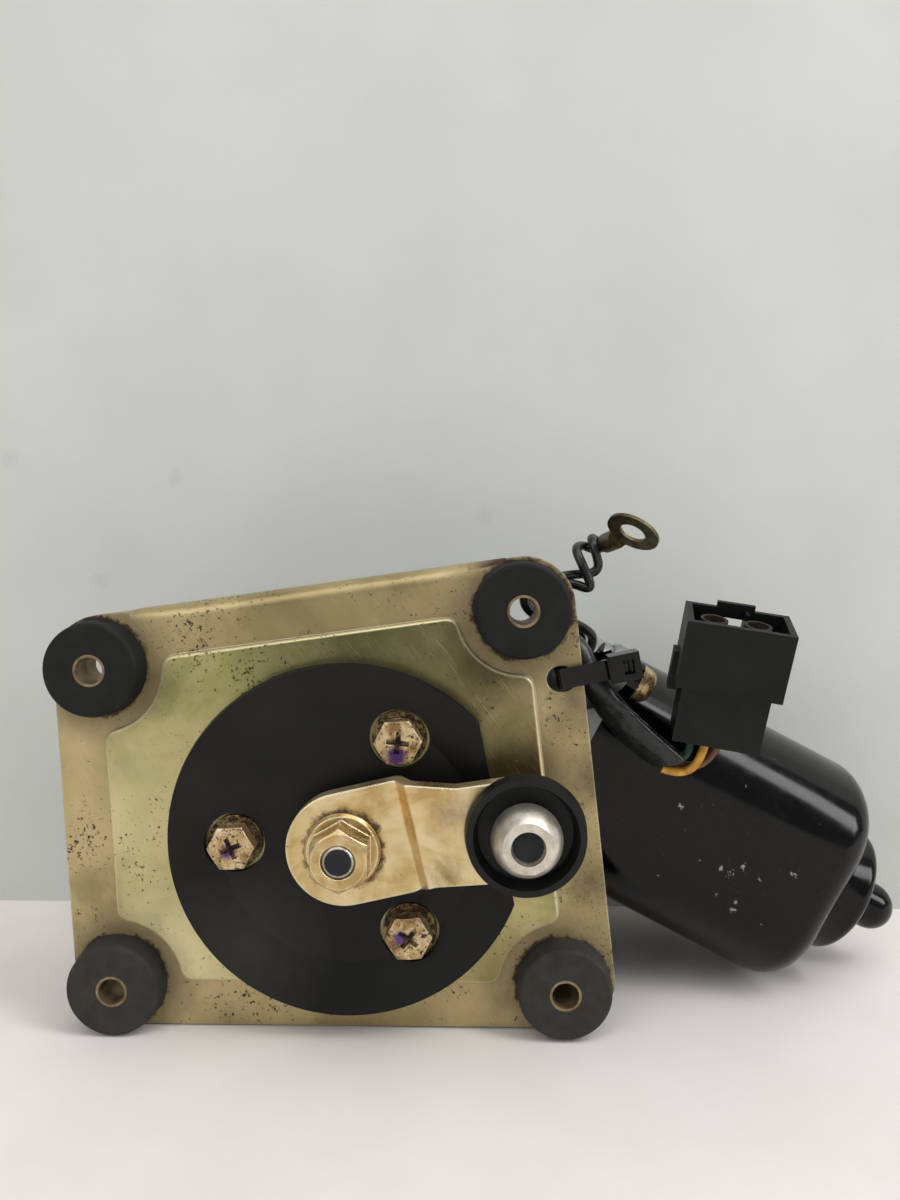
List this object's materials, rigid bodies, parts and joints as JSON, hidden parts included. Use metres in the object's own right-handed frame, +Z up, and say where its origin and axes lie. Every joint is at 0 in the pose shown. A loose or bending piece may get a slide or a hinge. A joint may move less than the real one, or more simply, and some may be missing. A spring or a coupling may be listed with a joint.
{
  "type": "wiper motor",
  "caption": "Two-speed windscreen wiper motor: permanent-magnet motor, worm gearbox, rubber-mounted steel plate and crank with ball joint.",
  "frame": {"origin": "middle of the part's length and depth, on the surface that the lower bushes stand on, loose wiring left out", "axes": "+Z up; the mounting plate and the crank face -Y; +X towards the motor's end, and the length runs along X"},
  "size_m": [0.2222, 0.0922, 0.1279],
  "materials": {
    "zinc_plate": "yellow-passivated zinc on pressed steel, iridescent and worn",
    "black_enamel": "gloss black enamel over deep-drawn steel, chipped",
    "bush_rubber": "grey-black moulded rubber",
    "disc_rubber": "black rubber with a satin sheen",
    "bright_steel": "turned steel, slightly tarnished",
    "zinc_steel": "yellow-passivated zinc on steel fasteners",
    "cast_alloy": "pressure die-cast aluminium, matt",
    "bronze": "oil-soaked sintered bronze",
    "copper": "enamelled copper and copper bars",
    "contact_brass": "brass strip",
    "lamination": "stacked electrical steel",
    "ferrite": "ferrite magnet",
    "carbon": "carbon brush",
    "nylon": "natural nylon gear",
    "phenolic": "phenolic board",
    "cover_plastic": "moulded black plastic",
    "gasket_paper": "gasket paper",
    "vinyl": "black vinyl sleeve and lead covering",
    "wire_green": "green wire covering",
    "wire_yellow": "yellow wire covering, stained",
    "wire_brown": "brown wire covering",
    "connector_plastic": "moulded black plastic, fine grained",
    "rusty_terminal": "rusted pressed terminals",
    "tie_nylon": "black nylon",
    "bronze_tin": "dull tinned bronze",
    "grommet_rubber": "black rubber",
    "boot_rubber": "soft black rubber",
    "spring_steel": "dark spring steel"
  },
  "bodies": {
    "casing": {"mounting_plate": "zinc_plate", "bush_top_left": "bush_rubber", "bush_top_right": "bush_rubber", "bush_bottom_left": "bush_rubber", "bush_bottom_right": "bush_rubber", "bush_sleeves": "zinc_steel", "sealing_disc": "disc_rubber", "plate_screws": "zinc_steel", "plate_spring_washers": "spring_steel", "plate_washers": "zinc_steel", "gear_housing": "cast_alloy", "front_shaft_bush": "bronze", "rear_shaft_bush": "bronze", "worm_end_bush": "bronze", "worm_inner_bush": "bronze", "thrust_screw": "zinc_steel", "thrust_screw_nut": "zinc_steel", "cover_gasket": "gasket_paper", "housing_cover": "cover_plastic", "cover_screws": "zinc_steel", "contact_board": "phenolic", "park_contacts": "contact_brass", "yoke": "black_enamel", "end_cap": "black_enamel", "yoke_screws": "zinc_steel", "yoke_screw_washers": "zinc_steel", "yoke_bearing": "bronze", "bearing_retainer": "bright_steel", "magnets": "ferrite", "brush_holder": "phenolic", "brushes": "carbon", "brush_springs": "spring_steel", "harness_grommet": "grommet_rubber", "harness_sleeve": "vinyl", "cable_tie": "tie_nylon", "wire_green": "wire_green", "wire_yellow": "wire_yellow", "wire_brown": "wire_brown", "connector_housing": "connector_plastic", "connector_terminals": "rusty_terminal", "ring_terminal": "bronze_tin", "earth_lead_upper": "vinyl", "earth_lead_lower": "vinyl"},
    "output": {"output_shaft": "bright_steel", "shaft_washer": "bright_steel", "shaft_circlip": "spring_steel", "worm_wheel": "nylon", "park_disc": "contact_brass", "crank_arm": "zinc_plate", "crank_nut": "zinc_steel", "ball_pin": "bright_steel", "ball": "bright_steel", "ball_boot": "boot_rubber"},
    "armature": {"armature_shaft": "bright_steel", "armature_core": "lamination", "armature_windings": "copper", "commutator": "copper"}
  },
  "joints": [
    {"name": "output_turn", "type": "hinge", "parent": "casing", "child": "output", "pos_m": [-0.03858, -0.0194, 0.04985], "axis": [0, -1, 0], "continuous": true},
    {"name": "armature_spin", "type": "hinge", "parent": "casing", "child": "armature", "pos_m": [-0.0211, 0.0168, 0.08314], "axis": [0.8854, 0, -0.4648], "continuous": true}
  ],
  "couplings": [
    {"joint": "armature_spin", "follows": "output_turn", "ratio": 51}
  ]
}
